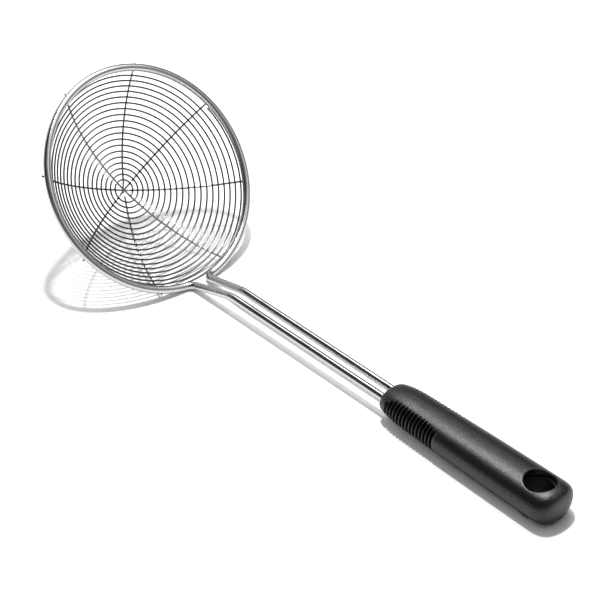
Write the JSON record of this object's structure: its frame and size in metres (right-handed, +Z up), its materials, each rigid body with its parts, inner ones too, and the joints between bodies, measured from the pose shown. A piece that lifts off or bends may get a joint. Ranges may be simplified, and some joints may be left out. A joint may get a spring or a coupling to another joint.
{
  "type": "wire strainer",
  "caption": "Long-handled wire strainer: a shallow bowl of wound wire on crossed spokes in a round steel rim, on a double-rod neck with a finned soft grip and a hanging hole.",
  "frame": {"origin": "middle of the tool's length and width, on the surface it lies on", "axes": "+X from the bowl toward the handle's end, +Z up, the bowl's mouth looking up and toward the handle"},
  "size_m": [0.3413, 0.127, 0.0949],
  "materials": {
    "polished_rod": "polished",
    "drawn_wire": "bright drawn",
    "hard_core": "satin",
    "soft_grip": "satin"
  },
  "bodies": {
    "root": {"rim_neck_rod": "polished_rod", "spoke_wire_1": "drawn_wire", "spoke_wire_2": "drawn_wire", "spoke_wire_3": "drawn_wire", "spoke_wire_4": "drawn_wire", "spiral_wire": "drawn_wire", "handle_core": "hard_core", "handle_grip": "soft_grip"}
  },
  "joints": []
}
